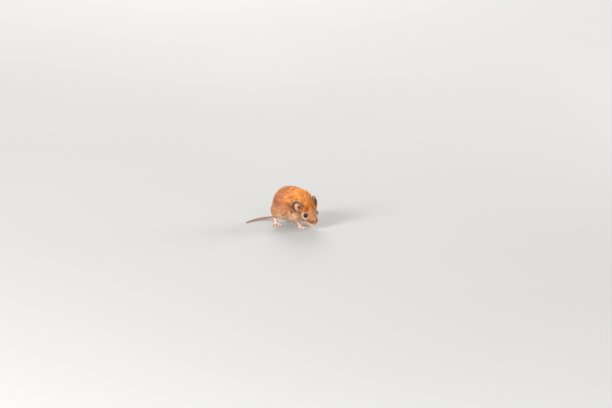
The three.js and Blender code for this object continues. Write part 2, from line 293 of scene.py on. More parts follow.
# ---------- feet ----------
HIND_TOES = [(56, 3.6), (24, 5.2), (3, 5.7), (-18, 5.4), (-54, 3.8)]  # angle out from the foot, and length
FORE_TOES = [(40, 2.9), (13, 3.6), (-13, 3.5), (-40, 2.8)]
KNUCKLES = (1, 0.88, 1.04, 0.84, 0.92, 0.9)  # how thick a toe is along its length, as parts of its radius
HIND_LEG = {
    "ankle": vec(-18, 8.4, 7.6),
    "ball": vec(-14.9, 10.4, 1.15),
    "ball_half": vec(2.2, 1.9, 1.5),
    "instep": (1.15, 1.4, 1.15),
    "toes": HIND_TOES,
    "toe_radius": HIND_TOE_RADIUS,
    "hidden": vec(-13.5, 8.8, 13),  # where the leg goes on inside the coat, and how thick it is there
    "hidden_radius": 3.8,
    "bare_below": 6.4,
}
FORE_LEG = {
    "ankle": vec(7.2, 6.2, 4.4),
    "ball": vec(9.6, 6.6, 0.9),
    "ball_half": vec(1.6, 1.5, 1.2),
    "instep": (1.3, 0.9),
    "toes": FORE_TOES,
    "toe_radius": FORE_TOE_RADIUS,
    "hidden": vec(4.6, 6.2, 8.6),
    "hidden_radius": 2.2,
    "bare_below": 2.3,
}


def swung(direction, degrees):
    """A level direction turned about the upright."""
    c, s = math.cos(math.radians(degrees)), math.sin(math.radians(degrees))
    return vec(direction[0] * c - direction[1] * s, direction[0] * s + direction[1] * c, 0)


def foot_line(leg, side):
    """A foot's ankle, the ball of the foot, and the level way from one to the other."""
    ankle, ball = mirrored(leg["ankle"], side), mirrored(leg["ball"], side)
    return ankle, ball, unit((ball - ankle) * (1, 1, 0))


def toe_lines(leg, side):
    """For each toe: its line of points from root to pad, and its direction."""
    _, ball, heading = foot_line(leg, side)
    radius = leg["toe_radius"]
    lines = []
    for angle, length in leg["toes"]:
        direction = swung(heading, angle * side)
        root = ball + direction * leg["ball_half"][1] * 0.55
        root[2] = radius * 1.4
        pad = root + direction * length
        pad[2] = radius * 0.8
        t = np.linspace(0, 1, len(KNUCKLES))[:, None]
        line = root + t * (pad - root) + np.sin(np.pi * t) * radius * 0.6 * vec(0, 0, 1)
        lines.append((line, direction))
    return lines


def foot_field(leg, side):
    """A foot: its instep, ball, toes with knuckles, and pads under the toes and the sole."""
    ankle, ball, heading = foot_line(leg, side)
    across = np.cross(vec(0, 0, 1), heading)
    radius = leg["toe_radius"]
    instep = limb(np.linspace(ankle, ball, len(leg["instep"])), leg["instep"])
    axes = np.column_stack([heading, across, vec(0, 0, 1)])
    sole = within(blob(ball, leg["ball_half"] - 0.05, axes), [ball], 3)
    toes, pads = [], []
    for line, direction in toe_lines(leg, side):
        toes.append(limb(line, radius * np.array(KNUCKLES)))
        tip, root = line[-1], line[0] - vec(0, 0, radius * 0.3)
        pads.append(limb([tip - direction * 0.3 - vec(0, 0, 0.05), tip], [radius * 0.95] * 2))
        pads.append(limb([root, root + direction * 0.4], [radius] * 2))
    hidden = mirrored(leg["hidden"], side)
    sleeve = limb([ankle * 0.8 + ball * 0.2, hidden], [leg["instep"][0], leg["hidden_radius"]])

    def field(p):
        found = meet(instep(p), sole(p), 0.9)
        for toe in toes:
            found = meet(found, toe(p), 0.45)
        for pad in pads:
            found = meet(found, pad(p), 0.25)
        return np.maximum(meet(found, sleeve(p), 1.2), 0.02 - p[:, 2])

    return field


feet = [foot_field(leg, s) for leg in (HIND_LEG, FORE_LEG) for s in BOTH]

# ---------- tail ----------
TAIL_POINTS = np.array(
    [
        (-17, 0, 9.2),
        (-21.8, 0.8, 5.2),
        (-26.2, 1.5, 2.3),
        (-31.2, -0.7, 1.35),
        (-35.6, -6.4, 1.1),
        (-38.6, -13.8, 0.85),
        (-40.2, -22.6, 0.5),
    ]
)


def smooth_line(points, steps):
    """A centripetal Catmull-Rom line through the points, as even steps along its length."""
    ends = [2 * points[0] - points[1], *points, 2 * points[-1] - points[-2]]
    line = []
    for p0, p1, p2, p3 in zip(ends, ends[1:], ends[2:], ends[3:]):
        t0, t1, t2 = (norm(b - a) ** 0.5 for a, b in ((p0, p1), (p1, p2), (p2, p3)))
        out = ((p1 - p0) / t0 - (p2 - p0) / (t0 + t1) + (p2 - p1) / t1) * t1
        into = ((p2 - p1) / t1 - (p3 - p1) / (t1 + t2) + (p3 - p2) / t2) * t1
        for t in np.linspace(0, 1, 40, endpoint=False):
            h = (2 * t**3 - 3 * t**2 + 1, t**3 - 2 * t**2 + t, -2 * t**3 + 3 * t**2, t**3 - t**2)
            line.append(h[0] * p1 + h[1] * out + h[2] * p2 + h[3] * into)
    line = np.array([*line, points[-1]])
    run = np.concatenate([[0], np.cumsum(norm(np.diff(line, axis=0)))])
    at = np.linspace(0, run[-1], steps)
    return np.column_stack([np.interp(at, run, line[:, k]) for k in range(3)]), run[-1]


TAIL_LINE, TAIL_LENGTH = smooth_line(TAIL_POINTS, 60)
TAIL_SHARES = np.linspace(0, 1, len(TAIL_LINE))
TAIL_RADII = TAIL_RADIUS + (TAIL_TIP_RADIUS - TAIL_RADIUS) * TAIL_SHARES**1.3
TAIL_WAYS = unit(np.gradient(TAIL_LINE, axis=0))
tail_field = limb(TAIL_LINE, TAIL_RADII)


def tail_step(p):
    """The step of the tail's line that is nearest to each point."""
    return np.argmin(((p[:, None] - TAIL_LINE[None]) ** 2).sum(2), axis=1)


# ---------- ears ----------
EAR_CUP = 3.6  # how far the rim curls forward of the middle
CONCHA = (0.24, -0.34)  # the middle of the deep hollow: toward the crown, and up, at parts of the half sizes
CONCHA_DEPTH = 2.3
CONCHA_BREADTH = 0.42


def ear_place(p, side):
    return (p - EAR_MIDDLE[side]) @ EAR_AXES[side]


def ear_round(across, up):
    """How far out a place on the ear is: 1 at its rim. The ear narrows toward its foot."""
    narrowed = across / (1 - 0.26 * smoothstep(0.1, -1, up))
    return np.sqrt(narrowed**2 + up**2)


def ear_lift(across, up, side):
    """How far the ear's sheet stands forward of its middle, at parts of its half sizes."""
    out = ear_round(across, up)
    from_concha = np.sqrt((across + CONCHA[0] * side) ** 2 + (up - CONCHA[1]) ** 2)
    bowl = EAR_CUP * (0.25 * out**2 + 0.75 * out**4) * (1 - 0.3 * smoothstep(-0.2, 0.9, up))
    groove = 0.45 * np.exp(-(((out - 0.76) / 0.1) ** 2))  # just inside the rolled rim
    ridge = 0.7 * np.exp(-(((from_concha - 0.56) / 0.11) ** 2)) * smoothstep(0.95, 0.6, out)
    return bowl - groove + ridge - CONCHA_DEPTH * smoothstep(CONCHA_BREADTH, 0.1, from_concha)


def ear_cup(across, up, side):
    """The lift of the ear's sheet, and how steep the sheet is there."""
    step = 0.02
    lift = ear_lift(across, up, side)
    slope_across = (ear_lift(across + step, up, side) - lift) / (step * EAR_HALF_WIDTH)
    slope_up = (ear_lift(across, up + step, side) - lift) / (step * EAR_HALF_HEIGHT)
    return lift, np.sqrt(1 + slope_across**2 + slope_up**2)


def ear_spot(across, up, out, side):
    """A place on the ear, at parts of its half sizes, and so far out of its sheet."""
    lift = ear_lift(np.float64(across), np.float64(up), side)
    return EAR_AXES[side] @ vec(across * EAR_HALF_WIDTH, up * EAR_HALF_HEIGHT, lift + out) + EAR_MIDDLE[side]


def ear_field(side):
    """A cupped sheet with a rolled rim, two folds at the foot of its hollow, and a root in the head."""
    crown, cheek = -side, side  # the edges of the ear that are next to the crown and to the cheek
    stem = [ear_spot(CONCHA[0] * crown, CONCHA[1], -0.9, side), head_place(mirrored((-4.2, 5.2, 0.6), side))]
    root = limb(stem, [2.3, 3.2])
    flap = [(0.62 * crown, -0.66, 0.5), (0.48 * crown, -0.42, 1.3), (0.5 * crown, -0.16, 1.2)]
    lobe = [(0.1 * cheek, -0.74, 0.2), (0.12 * crown, -0.66, 0.7)]
    folds = [
        limb([ear_spot(*place, side) for place in flap], [0.9, 0.62, 0.4]),
        limb([ear_spot(*place, side) for place in lobe], [0.9, 0.5]),
    ]

    def field(p):
        q = ear_place(p, side)
        across, up = q[:, 0] / EAR_HALF_WIDTH, q[:, 1] / EAR_HALF_HEIGHT
        out = ear_round(across, up)
        lift, steep = ear_cup(across, up, side)
        rim = 0.16 * np.exp(-(((out - 0.96) / 0.07) ** 2))
        sheet = np.abs(q[:, 2] - lift) / steep - EAR_SHEET / 2 - rim
        edge = (out - 1) * EAR_HALF_WIDTH
        found = carve(sheet, -edge, 0.4)
        for fold in folds:
            found = meet(found, fold(p), 0.7)
        behind = carve(root(p), lift - q[:, 2], 0.4)
        return meet(found, behind, 1.0)

    return within(field, [EAR_MIDDLE[side] - 6.5, EAR_MIDDLE[side] + 6.5], 1)


def ear_opening(side):
    """The ear's opening, from the bottom of its pit into the head."""
    start = ear_spot(-CONCHA[0] * side, CONCHA[1], 0.5, side)
    inward = unit(head_place(mirrored((-4.2, 3, -0.4), side)) - start)
    return limb([start, start + inward * 3.4], [1.0, 0.6])


ears = {s: ear_field(s) for s in BOTH}


# ---------- face ----------
def lid_frame(side):
    """The eye's axes, as columns: back along the head, up, and outward."""
    look = EYE_LOOK[side]
    back = -HEAD_AXES[:, 0]
    back = unit(back - look * (back @ look))
    return np.column_stack([back, np.cross(look, back) * side, look])


LID_AXES = {s: lid_frame(s) for s in BOTH}


def lid_field(side):
    """Upper and lower lids: a thin shell close over the eyeball, open in front of it."""

    def field(p):
        q = (p - EYE_MIDDLE[side]) @ LID_AXES[side]
        shell = np.abs(norm(q) - (EYE_RADIUS + 0.2)) - 0.24
        opening = np.sqrt((q[:, 0] / 2.05) ** 2 + (q[:, 1] / 1.9) ** 2) - 1
        in_front = np.where(q[:, 2] > 0, -opening * 1.5, -1.0)
        return carve(shell, -in_front, 0.2)

    return within(field, [EYE_MIDDLE[side]], 3)


lids = [lid_field(s) for s in BOTH]
sockets = [within(blob(EYE_MIDDLE[s], [EYE_RADIUS + 0.03] * 3), [EYE_MIDDLE[s]], 3) for s in BOTH]
NOSE_PAD = NOSE_TIP + (-0.75, 0, 0.1)
nose_blobs = [
    head_blob(NOSE_PAD + (0, 0, 0.1), (0.95, 0.95, 0.7)),
    head_blob(NOSE_PAD + (-0.3, 0, -1.1), (0.75, 0.45, 0.9)),
]
nose_blobs += [head_blob(NOSE_PAD + (-0.15, s * 0.65, -0.3), (0.85, 0.65, 0.7)) for s in BOTH]
nose_pad = within(blended(nose_blobs, 0.35), [head_place(NOSE_PAD)], 3)
NOSTRIL = NOSE_PAD + [(0.75, 0.5, -0.3), (0.5, 1.0, -0.2), (-0.1, 1.4, 0.1)]
MOUTH = [(11.6, 0.1, -4.3), (10.7, 1.5, -4.9), (9.0, 2.9, -5.3), (7.2, 3.9, -5.3)]
SPLIT_LIP = [(13.5, 0, -1.9), (12.9, 0, -3.0), (11.9, 0, -4.2)]


def head_limb(points, radii, side=1):
    """A round limb along a line of places on the head."""
    return limb(head_place(mirrored(points, side)), radii)


face_grooves = []  # each a field and how soft its edge is
for s in BOTH:
    face_grooves += [
        (ear_opening(s), 0.5),
        (head_limb(NOSTRIL, [0.3, 0.3, 0.16], s), 0.15),
        (head_limb(MOUTH, [0.4, 0.5, 0.5, 0.3], s), 0.6),
    ]
face_grooves.append((head_limb(SPLIT_LIP, [0.22, 0.34, 0.36]), 0.5))


def skin_surface(p):
    """The animal's skin, over its whole body, from nose to tail tip."""
    found = coat_surface(p) + coat_depth(p)
    found = meet(found, nose_pad(p), 0.5)
    for lid in lids:
        found = meet(found, lid(p), 0.7)
    for ear in ears.values():
        found = meet(found, ear(p), 1.3)
    for foot in feet:
        found = meet(found, foot(p), 1.6)
    found = meet(found, tail_field(p), 2.2)
    for groove, soften in face_grooves:
        found = carve(found, groove(p), soften)
    for socket in sockets:
        found = np.maximum(found, -socket(p))
    return found


# ---------- from a field to a mesh ----------
GRID_STEPS = (4, 2, 1)  # from the coarsest grid to the finest, each half the one before
GRID_MARGIN = 1.3  # how many cells of a grid from the surface the next one is worked out
AT_ONCE = 60000  # points in one call of a field


def field_on_grid(field, low, counts, pitch):
    """The field's values on a grid: exact near its surface, and only of the right sign elsewhere."""
    values = None
    for step in GRID_STEPS:
        size = [math.ceil(n / step) + 1 for n in counts]
        if values is None:
            values, near = np.zeros(size), np.ones(size, bool)
        else:
            near = np.abs(values) < GRID_MARGIN * 2 * step * pitch
            values, near = (doubled(grid, size) for grid in (values, near))
        at = np.argwhere(near)
        for part in np.array_split(at, max(1, len(at) // AT_ONCE)):
            values[tuple(part.T)] = field(low + part * (step * pitch))
    return values


def doubled(grid, size):
    """Each value of a grid twice along each axis, cut to a size."""
    for axis in range(3):
        grid = np.repeat(grid, 2, axis)
    return grid[: size[0], : size[1], : size[2]].copy()


def surface_nets(values, low, pitch):
    """The zero surface of a grid: a point in each cell that it crosses, a quad round each crossed edge."""
    inside = values < 0
    corners = np.stack(np.meshgrid([0, 1], [0, 1], [0, 1], indexing="ij"), -1).reshape(-1, 3)
    cut = [[slice(k, n - 1 + k) for k in (0, 1)] for n in values.shape]
    count = sum(inside[cut[0][x], cut[1][y], cut[2][z]].astype(np.uint8) for x, y, z in corners)
    crossed = (count > 0) & (count < 8)
    cells = np.argwhere(crossed)
    number = np.full(crossed.shape, -1, np.int64)
    number[crossed] = np.arange(len(cells))
    total, hits = np.zeros((len(cells), 3)), np.zeros(len(cells))
    for axis in range(3):
        for a in corners[corners[:, axis] == 0]:
            b = a + np.eye(3, dtype=int)[axis]
            at_a, at_b = (values[tuple((cells + c).T)] for c in (a, b))
            cut = (at_a < 0) != (at_b < 0)
            share = np.where(cut, at_a / np.where(cut, at_a - at_b, 1), 0)
            total += np.where(cut[:, None], a + share[:, None] * (b - a), 0)
            hits += cut
    quads = []
    for axis in range(3):
        u, v = np.eye(3, dtype=int)[(axis + 1) % 3], np.eye(3, dtype=int)[(axis + 2) % 3]
        step = np.eye(3, dtype=int)[axis]
        stop = [n - (k == axis) for k, n in enumerate(values.shape)]
        start = inside[: stop[0], : stop[1], : stop[2]]
        end = inside[step[0] : step[0] + stop[0], step[1] : step[1] + stop[1], step[2] : step[2] + stop[2]]
        at = np.argwhere(start != end)
        ring = np.stack([number[tuple((at - k).T)] for k in (u + v, v, np.zeros(3, int), u)], 1)
        leaving = start[tuple(at.T)]
        quads.append(np.where(leaving[:, None], ring, ring[:, ::-1]))
    return low + pitch * (cells + total / hits[:, None]), np.concatenate(quads)


def settled(points, field, step=0.04):
    """Points moved onto the field's own surface, at most by a part of the grid's pitch."""
    value = field(points)
    slope = np.stack([field(points + step * axis) - value for axis in np.eye(3)], axis=1) / step
    reach = np.clip(value / np.maximum((slope**2).sum(1), 0.2), -0.12, 0.12)
    return points - slope * reach[:, None]


def ways_out(points, quads):
    """The way out at each point of a mesh of quads."""
    corners = points[quads]
    across = np.cross(corners[:, 2] - corners[:, 0], corners[:, 3] - corners[:, 1])
    found = [np.bincount(quads.ravel(), np.repeat(across[:, k], 4), len(points)) for k in range(3)]
    return unit(np.stack(found, 1))


SKIN_LOW, SKIN_HIGH = vec(-43, -25.5, -1), vec(24.5, 17.5, 37)
grid_counts = [math.ceil(n) for n in (SKIN_HIGH - SKIN_LOW) / SKIN_PITCH]
grid_values = field_on_grid(skin_surface, SKIN_LOW, grid_counts, SKIN_PITCH)
skin_points, skin_quads = surface_nets(grid_values, SKIN_LOW, SKIN_PITCH)
skin_points = settled(skin_points, skin_surface)
skin_ways = ways_out(skin_points, skin_quads)

# ---------- what part of the animal each point is on ----------
BODY_PART, EAR_PART, FOOT_PART, TAIL_PART, NOSE_PART = range(5)
FAR = 9  # further than any skin point is from what it lies on


def part_of(p):
    """The number of the part that each point near the skin lies on. The coat reaches down the legs."""
    legs = (HIND_LEG, HIND_LEG, FORE_LEG, FORE_LEG)
    bare = [np.where(p[:, 2] < leg["bare_below"], foot(p), FAR) for foot, leg in zip(feet, legs)]
    furred_legs = np.min([foot(p) for foot in feet], axis=0)
    values = [
        np.minimum(coat_surface(p) + coat_depth(p), furred_legs + 0.01),
        np.minimum(*(ear(p) for ear in ears.values())),
        np.min(bare, axis=0),
        tail_field(p),
        nose_pad(p),
    ]
    return np.argmin(values, axis=0)


# ---------- markings, painted light and painted shade, the same for skin and coat ---
def waves(p, length, seed, count=9):
    """A smooth random pattern between about -1 and 1, whose patches are about `length` across."""
    pick = np.random.default_rng(seed)
    found = np.zeros(len(p))
    for _ in range(count):
        way = unit(pick.normal(size=3)) * 2 * np.pi / (length * pick.uniform(1.4, 2.8))
        found += np.sin(p @ way + pick.uniform(0, 2 * np.pi))
    return found / math.sqrt(count)


def layered(colour, *layers):
    """A colour with others laid over it. Each layer is a colour and how much it covers at each point."""
    for other, share in layers:
        colour = np.asarray(colour) * (1 - share[:, None]) + np.asarray(other) * share[:, None]
    return colour


RUFOUS = (0.41, 0.152, 0.064)  # the back
BRIGHT = (0.72, 0.26, 0.056)  # the crown and nape
REDDISH = (0.88, 0.31, 0.088)  # the rump: a redder tone of its own, made brighter as painted light where the rump is in shade
BUFF = (0.60, 0.28, 0.125)  # the flank
PALE = (0.86, 0.52, 0.33)  # the lower edge of the flank: a paler tone of its own, made paler still as painted light where the underside is in shade
NECK = (0.60, 0.40, 0.26)  # behind the cheek, under the ear
CREAM = (0.90, 0.62, 0.46)  # the belly, throat and lips
FOREHEAD = (0.58, 0.158, 0.008)
CHEEK = (0.37, 0.112, 0.018)
MUZZLE = (0.68, 0.35, 0.17)
WHISKER_BED_AND_SHADE = (0.20, 0.064, 0.023)  # a band along the upper lip: partly the whisker pad's darker hair, partly painted shade under the pad
EYE_RING = (0.92, 0.64, 0.45)
BARE = (0.62, 0.385, 0.335)  # feet
BROWN_SKIN = (0.19, 0.09, 0.05)  # the back of the ear
HOLLOW_SKIN_AND_SHADE = (0.24, 0.10, 0.055)  # the hollow of the ear: brown-pink skin darkened with painted shade of its deep cup
TAIL_DARK = (0.19, 0.095, 0.068)
TAIL_PALE = (0.47, 0.30, 0.23)
NOSE_SKIN = (0.17, 0.072, 0.055)
LID_SKIN = (0.05, 0.032, 0.026)
PIT_SHADE = (0.05, 0.024, 0.018)  # painted shade: near black where the ear's opening goes into the head


BAND_LINE = [(5.6, 5.8, -2), (10.3, 4.3, 0.5), (12.4, 2, 1)]
whisker_bed_and_shade_bands = [head_limb(BAND_LINE, [0.7, 1.5, 1.2], s) for s in BOTH]


def tail_tones(ways):
    """Dark above and pale below."""
    return layered(TAIL_PALE, (TAIL_DARK, smoothstep(-0.25, 0.45, ways[:, 2])))


def coat_colour(p, ways):
    """The coat's colour at points with these outward ways: red-brown above, buff on the flank, pale below."""
    loose = waves(p, 5, 1) * 0.9 + waves(p, 2.2, 2) * 0.6
    height = (p[:, 2] - 3) / (BACK_HEIGHT - 3) + 0.16 * ways[:, 2] + 0.03 * loose
    arm, heel = (norm((p - joint) * (1, 0, 1)) for joint in ((5.5, 0, 5.5), (-18.3, 0, 6.8)))
    colour = layered(
        CREAM,
        # Painted light in part: PALE is lighter than the fur's own tone, to lift the shaded underside.
        (PALE, smoothstep(-0.02, 0.16, height)),
        (BUFF, smoothstep(0.12, 0.34, height)),
        (RUFOUS, smoothstep(0.34, 0.70, height)),
        # Painted light in part: REDDISH is brighter than the fur's own tone, to lift the shaded rump.
        (REDDISH, smoothstep(-8, -20, p[:, 0]) * smoothstep(0.25, 0.5, height)),
        (BRIGHT, smoothstep(-9, 9, p[:, 0]) * smoothstep(0.4, 0.75, height)),
        (BUFF, 0.75 * smoothstep(6, 3, arm)),
        (NECK, 0.85 * smoothstep(4.2, 1.6, heel)),
    )
    q = in_head(p)
    level = q[:, 2] + 0.7 * loose
    face = layered(
        CREAM,
        (CHEEK, smoothstep(-8.2, -5.6, level)),
        (FOREHEAD, smoothstep(-1.5, 3.0, level)),
        (BRIGHT, smoothstep(4.5, 7, level) * smoothstep(1, -5, q[:, 0])),
        (MUZZLE, smoothstep(0.6, 6.4, q[:, 0] + 1.1 * loose) * smoothstep(-3, 0, level)),
    )
    # Painted shade in part: the dark band along the upper lip stands for the pad's darker hair and the shade
    # under the pad.
    bands = [(WHISKER_BED_AND_SHADE, 0.85 * smoothstep(0.8, -0.6, band(p) + 0.5 * loose)) for band in whisker_bed_and_shade_bands]
    under_band = q[:, 2] + 3.5 - 0.41 * (q[:, 0] - 5.4) + 0.4 * loose
    lips = 0.75 * smoothstep(4, 7, q[:, 0]) * smoothstep(0.6, -0.8, under_band)
    face = layered(face, *bands, (CREAM, lips))
    colour = layered(colour, (face, smoothstep(-9, -3, q[:, 0]) * smoothstep(1.0, 5, p[:, 0])))
    for s in BOTH:
        eye = (p - EYE_MIDDLE[s]) @ LID_AXES[s]
        out = norm(eye[:, :2] / (1.12, 1))
        below = smoothstep(1.4, -1.2, eye[:, 1])
        ring = smoothstep(3 + 1.5 * below, 2.4, out) * (np.abs(eye[:, 2]) < 4) * (0.2 + 0.8 * below)
        under_ear = nearness(ear_place(p, s), (4 * s, -9, 0), (5.5, 4.5, 7))
        colour = layered(colour, (EYE_RING, ring), (NECK, 0.9 * under_ear))
    return colour * (1 + 0.09 * loose)[:, None]


def ear_shares(p, ways, side):
    """How far each point is in the ear's hollow, in its pale patch and on its rim; and which are near it. The
    hollow carries painted shade; the pale patch is partly pale hair and skin, partly painted light.
    """
    q = ear_place(p, side)
    across, up = q[:, 0] / EAR_HALF_WIDTH, q[:, 1] / EAR_HALF_HEIGHT
    out = ear_round(across, up)
    facing = smoothstep(-0.35, 0.1, ways @ EAR_AXES[side][:, 2])
    hollow = facing * smoothstep(1.0, 0.86, out)
    # The pale patch: partly the ear's pale hair and skin, partly painted light where the cup's inner wall is
    # lit.
    patch = np.sqrt(((across - 0.05 * side) / 0.5) ** 2 + ((up + 0.05) / 0.66) ** 2)
    pale = facing * smoothstep(1.15, 0.6, patch)
    return hollow, pale, smoothstep(0.88, 0.95, out), norm(q) < 9.5


def skin_colour(p, ways, part):
    """The skin's colour: under the coat, the coat's markings darkened as painted shade of the fur's depth;
    where it is bare, its own colour.
    """
    # Painted shade: the skin under the coat is darkened so that the gaps between the locks look deep.
    colour = coat_colour(p, ways) * (0.56, 0.54, 0.56)
    colour[part == FOOT_PART] = BARE
    colour = np.where((part == TAIL_PART)[:, None], tail_tones(ways), colour)
    colour[part == NOSE_PART] = NOSE_SKIN
    for s in BOTH:
        hollow, pale, rim, near = ear_shares(p, ways, s)
        # The ear's skin: brown on the back; in the hollow darkened as painted shade, which shows as a dark
        # band inside the rim; the pale patch is partly pale skin and partly painted light.
        ear_tone = layered(
            BROWN_SKIN, (HOLLOW_SKIN_AND_SHADE, hollow), ((0.70, 0.39, 0.25), 0.8 * pale), ((0.50, 0.28, 0.17), 0.5 * rim)
        )
        colour = np.where(((part == EAR_PART) & near)[:, None], ear_tone, colour)
        # Painted shade: near black laid round the ear's opening, where it goes into the head.
        opening = norm(p - ear_spot(-CONCHA[0] * s, CONCHA[1], -0.4, s))
        lids = smoothstep(EYE_RADIUS + 0.75, EYE_RADIUS + 0.35, norm(p - EYE_MIDDLE[s]))
        colour = layered(colour, (PIT_SHADE, smoothstep(2.4, 1.1, opening)), (LID_SKIN, lids))
    shade = 1 + 0.06 * waves(p, 1.2, 7)
    return colour * shade[:, None]


# ---------- materials ----------
def added(tree, kind, **settings):
    """A new node, with some of its properties or inputs set."""
    node = tree.nodes.new(kind)
    for key, value in settings.items():
        if hasattr(node, key):
            setattr(node, key, value)
        else:
            node.inputs[key].default_value = value
    return node


def noise(tree, scale, detail=3, stretch=(1, 1, 1)):
    """Noise in the object's own metres, so that it keeps its real size."""
    where = added(tree, "ShaderNodeTexCoord")
    mapping = added(tree, "ShaderNodeMapping", Scale=stretch)
    found = added(tree, "ShaderNodeTexNoise", Scale=scale, Detail=detail)
    tree.links.new(where.outputs["Object"], mapping.inputs["Vector"])
    tree.links.new(mapping.outputs["Vector"], found.inputs["Vector"])
    return found.outputs["Fac"]


def ramp(tree, grain, *stops):
    """Noise turned into two levels. grain is what noise() is given, and a stop is its place and its tone."""
    node = added(tree, "ShaderNodeValToRGB")
    tree.links.new(noise(tree, *grain), node.inputs["Fac"])
    for mark, (place, value) in zip(node.color_ramp.elements, stops):
        mark.position = place
        mark.color = (*np.broadcast_to(value, 3), 1)
    return node.outputs["Color"]


def painted_on(tree, name, kind="Color"):
    """What is painted on the mesh's points under a name."""
    return added(tree, "ShaderNodeAttribute", attribute_name=name).outputs[kind]


def material_of(name, colour, rough, levels, marked=False):
    """A material whose colour and roughness are ramps, with levels for its other inputs.

    rough is None where the roughness is among the levels. A marked one has its colour multiplied by the
    tone that is painted on its points.
    """
    material = bpy.data.materials.new(name)
    material.use_nodes = True
    tree = material.node_tree
    shader = tree.nodes["Principled BSDF"]
    base = ramp(tree, *colour)
    if marked:
        both = added(tree, "ShaderNodeMix", data_type="RGBA", blend_type="MULTIPLY")
        both.inputs["Factor"].default_value = 1
        tree.links.new(painted_on(tree, "tone"), both.inputs["A"])
        tree.links.new(base, both.inputs["B"])
        base = both.outputs["Result"]
    tree.links.new(base, shader.inputs["Base Color"])
    if rough:
        tree.links.new(ramp(tree, *rough), shader.inputs["Roughness"])
    for key, value in levels.items():
        shader.inputs[key].default_value = value
    return material


def bumped(material, height, strength, distance):
    """The same material, its surface raised by an output's value."""
    tree = material.node_tree
    bump = added(tree, "ShaderNodeBump", Strength=strength, Distance=distance)
    tree.links.new(height, bump.inputs["Height"])
    tree.links.new(bump.outputs["Normal"], tree.nodes["Principled BSDF"].inputs["Normal"])
    return material


def skin_material():
    """Thin skin: its markings, fine creases, and rings of scales round the tail."""
    creases = (2600, 4)
    levels = {
        "Specular IOR Level": 0.35,
        "Subsurface Weight": 0.12,
        "Subsurface Radius": (1, 0.35, 0.2),
        "Subsurface Scale": 0.0006,
    }
    blotches = ((700,), (0.3, 0.86), (0.7, 1.12))
    material = material_of("skin", blotches, (creases, (0.3, 0.5), (0.75, 0.72)), levels, marked=True)
    tree = material.node_tree
    relief = added(tree, "ShaderNodeMath", operation="MULTIPLY_ADD")
    tree.links.new(painted_on(tree, "rings", "Fac"), relief.inputs[0])
    relief.inputs[1].default_value = 0.8
    tree.links.new(noise(tree, *creases), relief.inputs[2])
    return bumped(material, relief.outputs[0], 0.5, 0.00012)


def claw_material():
    """Translucent horn with a grain along the claw."""
    grain = (3000, 3, (0.3, 1, 1))
    colour = (grain, (0.3, (0.50, 0.36, 0.27)), (0.7, (0.74, 0.60, 0.50)))
    levels = {"Subsurface Weight": 0.1, "Subsurface Scale": 0.0003}
    material = material_of("claw", colour, (grain, (0.3, 0.28), (0.7, 0.42)), levels)
    return bumped(material, noise(material.node_tree, *grain), 0.3, 0.00004)


COAT = material_of(
    "coat",
    ((5200, 2), (0.3, 0.84), (0.7, 1.14)),
    ((1500, 2), (0.3, 0.5), (0.7, 0.68)),
    {"Specular IOR Level": 0.18, "Sheen Weight": 0.05, "Sheen Roughness": 0.4},
    marked=True,
)
IRIS = ((1400,), (0.35, (0.004, 0.003, 0.003)), (0.75, (0.016, 0.008, 0.005)))
WET_EYE = material_of("eye", IRIS, None, {"Roughness": 0.06, "IOR": 1.37})
WHISKER_TONE = ((900, 2), (0.35, (0.20, 0.13, 0.09)), (0.65, (0.72, 0.66, 0.60)))
WHISKER = material_of("whisker", WHISKER_TONE, ((4000, 2), (0.3, 0.3), (0.7, 0.45)), {})
CLOUD = (3, 4)
FLOOR = material_of("floor", (CLOUD, (0.3, 0.33), (0.7, 0.35)), (CLOUD, (0.3, 0.75), (0.7, 0.85)), {})


# ---------- meshes ----------
def mesh_object(name, points, loops, sizes, material):
    """A piece from arrays: its points in millimetres, its faces' corners in a row, and the faces' sizes."""
    mesh = bpy.data.meshes.new(name)
    mesh.vertices.add(len(points))
    mesh.vertices.foreach_set("co", to_row(points).astype(np.float32).ravel())
    mesh.loops.add(len(loops))
    mesh.loops.foreach_set("vertex_index", np.asarray(loops, np.int32))
    mesh.polygons.add(len(sizes))
    starts = np.concatenate([[0], np.cumsum(sizes)[:-1]])
    mesh.polygons.foreach_set("loop_start", starts.astype(np.int32))
    mesh.polygons.foreach_set("use_smooth", np.full(len(sizes), True))
    mesh.update(calc_edges=True)
    mesh.materials.append(material)
    piece = bpy.data.objects.new(name, mesh)
    bpy.context.scene.collection.objects.link(piece)
    return piece


def painted(piece, colours):
    """Gives each point of a piece its colour."""
    layer = piece.data.color_attributes.new("tone", "FLOAT_COLOR", "POINT")
    full = np.column_stack([np.clip(colours, 0, 1), np.ones(len(colours))])
    layer.data.foreach_set("color", full.astype(np.float32).ravel())


def joined_arrays(parts):
    """One set of points, corners and face sizes from several."""
    points, loops, sizes, offset = [], [], [], 0
    for part_points, faces in parts:
        points.append(part_points)
        for face in faces:
            loops.extend(int(i) + offset for i in face)
            sizes.append(len(face))
        offset += len(part_points)
    return np.concatenate(points), loops, sizes


skin_parts = part_of(skin_points)
skin = mesh_object("skin", skin_points, skin_quads.ravel(), np.full(len(skin_quads), 4), skin_material())
painted(skin, skin_colour(skin_points, skin_ways, skin_parts))
ring_layer = skin.data.attributes.new("rings", "FLOAT", "POINT")
nearest = tail_step(skin_points)
RING_PITCH = 0.45
beyond = ((skin_points - TAIL_LINE[nearest]) * TAIL_WAYS[nearest]).sum(1)
tail_run = TAIL_SHARES[nearest] * TAIL_LENGTH + beyond
ring_wave = np.sin(2 * np.pi * tail_run / RING_PITCH) * (skin_parts == TAIL_PART)
ring_layer.data.foreach_set("value", ring_wave.astype(np.float32))
FLESH = ["head", "neck", "chest", "belly", "rump", "nose", "tail_root", "tail_middle", "tail_tip"]
FLESH += [f"{part}_{side}" for part in ("thigh", "shank", "upper_arm", "forearm") for side in SIDES]
FLESH += [f"{part}_{side}" for part in ("hind_foot", "fore_foot", "ear") for side in SIDES]
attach(skin, "root")
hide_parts(*FLESH)


